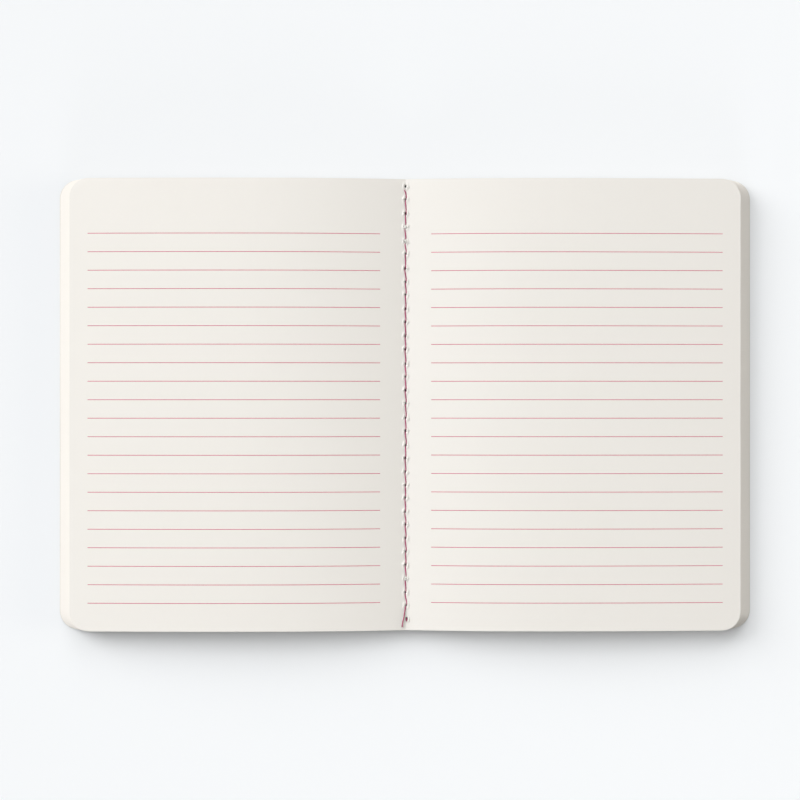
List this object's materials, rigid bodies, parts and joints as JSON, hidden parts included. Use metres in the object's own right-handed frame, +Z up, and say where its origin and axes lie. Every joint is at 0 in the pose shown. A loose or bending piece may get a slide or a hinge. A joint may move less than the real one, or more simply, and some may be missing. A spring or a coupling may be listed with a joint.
{
  "type": "open composition notebook",
  "caption": "Soft-cover notebook lying open at its middle spread: arched ruled pages, rounded corners, machine stitching through the fold, and covers that close on a hinge line.",
  "frame": {"origin": "on the table, under the middle of the fold, at the middle of the page height", "axes": "+X across the spread towards the back cover's fore-edge, +Y along the fold towards the head of the page, +Z up out of the open pages"},
  "size_m": [0.2726, 0.177, 0.0091],
  "materials": {
    "cover_card": "matte",
    "page_paper": "matte",
    "ruling_ink": "matte",
    "sewing_thread": "matte"
  },
  "bodies": {
    "back_half": {"back_cover": "cover_card", "right_pages": "page_paper", "right_ruled_lines": "ruling_ink", "needle_thread": "sewing_thread", "bobbin_thread": "sewing_thread"},
    "front_half": {"front_cover": "cover_card", "left_pages": "page_paper", "left_ruled_lines": "ruling_ink"}
  },
  "joints": [
    {"name": "fold_hinge", "type": "hinge", "parent": "back_half", "child": "front_half", "pos_m": [0, 0, 0.00919], "axis": [0, 1, 0], "range_deg": [0, 180]}
  ]
}
